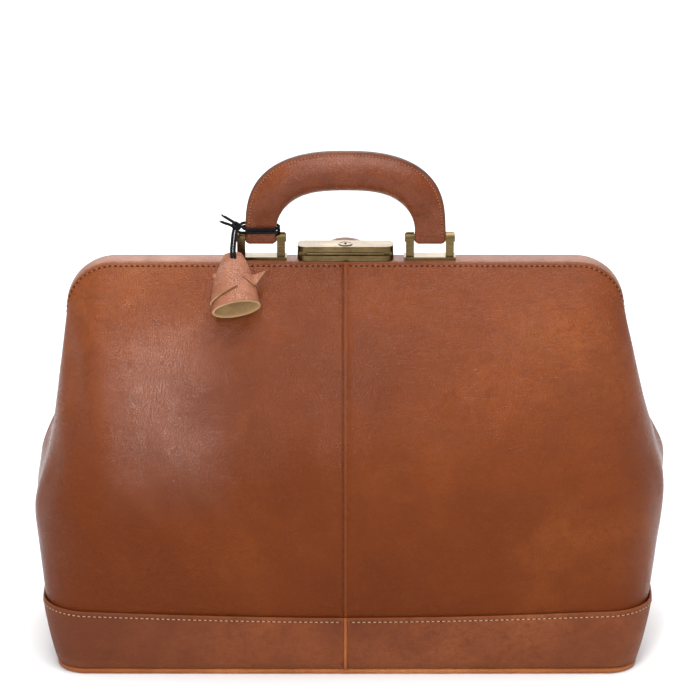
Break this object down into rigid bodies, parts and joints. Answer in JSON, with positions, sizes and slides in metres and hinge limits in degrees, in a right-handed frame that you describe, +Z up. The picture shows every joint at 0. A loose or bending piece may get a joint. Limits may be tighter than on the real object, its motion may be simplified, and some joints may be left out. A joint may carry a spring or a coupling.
{
  "type": "doctor bag",
  "caption": "Framed leather doctor bag: soft hide body on a flat base, hinged steel mouth frame, padded arch handle, hasp lock and a hanging key bell.",
  "frame": {"origin": "middle of the underside, on the floor", "axes": "+X along the bag's width, to the right as seen from the front; -Y towards the front, where the lock's frame half and the key bell are; +Z up"},
  "size_m": [0.45, 0.1984, 0.3611],
  "materials": {
    "body_hide": "semi-gloss vegetable tanned hide, mottled honey tan",
    "trim_hide": "semi-gloss tan hide, slightly darker",
    "lining_cloth": "plain woven cotton, matt",
    "board": "raw fibre board",
    "frame_steel": "plain strip steel",
    "antique_brass": "antique brass plate, satin",
    "cord": "black twisted cord, matt"
  },
  "bodies": {
    "root": {"base_leather": "trim_hide", "base_board": "board", "base_piping": "body_hide", "base_band_left": "trim_hide", "base_band_right": "trim_hide", "body_leather_left": "body_hide", "body_leather_right": "body_hide", "upper_leather_front": "body_hide", "upper_leather_back": "body_hide", "body_lining": "lining_cloth", "centre_welts": "trim_hide"},
    "front_frame": {"front_frame_steel": "frame_steel", "front_frame_leather": "trim_hide", "hinge_pins": "antique_brass", "handle_bracket_left": "antique_brass", "handle_bracket_right": "antique_brass", "bracket_screws": "antique_brass", "handle_pins": "antique_brass", "lock_case": "antique_brass", "lock_screws": "antique_brass", "lock_hinge_pin": "antique_brass"},
    "back_frame": {"back_frame_steel": "frame_steel", "back_frame_leather": "trim_hide", "lock_catch": "antique_brass", "catch_screws": "antique_brass"},
    "handle": {"handle_core": "board", "handle_leather": "trim_hide", "handle_bushes": "antique_brass", "cord_loop": "cord"},
    "lock_lid": {"lock_lid": "antique_brass", "lock_tab": "trim_hide", "tab_rivets": "antique_brass"},
    "key_cylinder": {"key_cylinder": "antique_brass"},
    "key_bell": {"tag_bell": "trim_hide", "tag_key": "antique_brass", "cord_drop": "cord"}
  },
  "joints": [
    {"name": "front_frame_open", "type": "hinge", "parent": "root", "child": "front_frame", "pos_m": [0, 0, 0.195], "axis": [1, 0, 0], "range_deg": [0, 45], "deforming": ["upper_leather_front"]},
    {"name": "back_frame_open", "type": "hinge", "parent": "root", "child": "back_frame", "pos_m": [0, 0, 0.195], "axis": [1, 0, 0], "range_deg": [-45, 0], "deforming": ["upper_leather_back"]},
    {"name": "handle_swing", "type": "hinge", "parent": "front_frame", "child": "handle", "pos_m": [0, -0.009, 0.2983], "axis": [1, 0, 0], "range_deg": [-90, 90]},
    {"name": "lock_lid_open", "type": "hinge", "parent": "front_frame", "child": "lock_lid", "pos_m": [0, -0.0166, 0.2883], "axis": [1, 0, 0], "range_deg": [0, 95]},
    {"name": "key_turn", "type": "hinge", "parent": "lock_lid", "child": "key_cylinder", "pos_m": [0, -0.0101, 0.29], "axis": [0, 0, 1], "range_deg": [0, 90]},
    {"name": "key_bell_swing", "type": "hinge", "parent": "front_frame", "child": "key_bell", "pos_m": [-0.079, -0.018, 0.3075], "axis": [1, 0, 0], "range_deg": [-45, 0]}
  ],
  "couplings": [
    {"joint": "back_frame_open", "follows": "front_frame_open", "ratio": -1}
  ]
}
